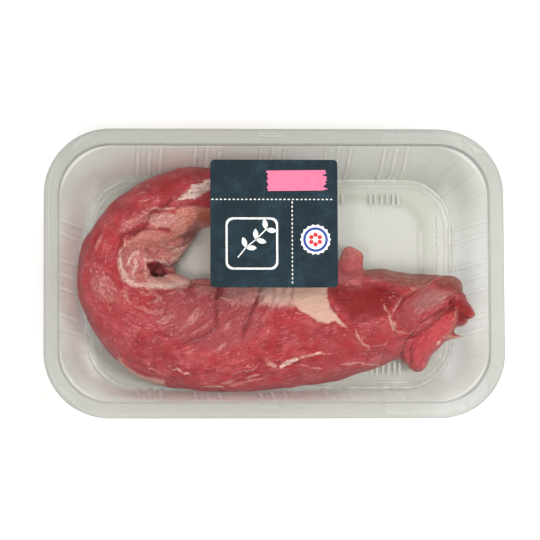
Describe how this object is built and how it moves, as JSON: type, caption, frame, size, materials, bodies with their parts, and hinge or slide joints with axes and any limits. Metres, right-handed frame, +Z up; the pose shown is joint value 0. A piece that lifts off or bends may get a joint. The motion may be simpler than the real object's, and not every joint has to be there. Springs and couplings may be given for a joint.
{
  "type": "raw pork tenderloin in a sealed clear tray",
  "caption": "Raw pork tenderloin folded into a hook, sealed under clear film in a clear rectangular tray with a ribbed wall, a flat flange and a plain square label on the film.",
  "frame": {"origin": "on the surface that the tray stands on, under the middle of the tray", "axes": "+X along the tray, towards the folded end of the meat; +Y across it, towards the side that the label lies nearer to; +Z up, out of the film"},
  "size_m": [0.228, 0.144, 0.0504],
  "materials": {
    "clear_tray": "clear thermoformed sheet with a faint grey tint",
    "raw_pork": "moist raw lean meat with pale fat and silver skin",
    "clear_film": "thin taut clear lidding film",
    "label_paper": "satin printed paper, slate coloured with a pink field and white dotted lines"
  },
  "bodies": {
    "root": {"tray": "clear_tray", "tenderloin": "raw_pork", "lid_film": "clear_film", "label": "label_paper"}
  },
  "joints": []
}
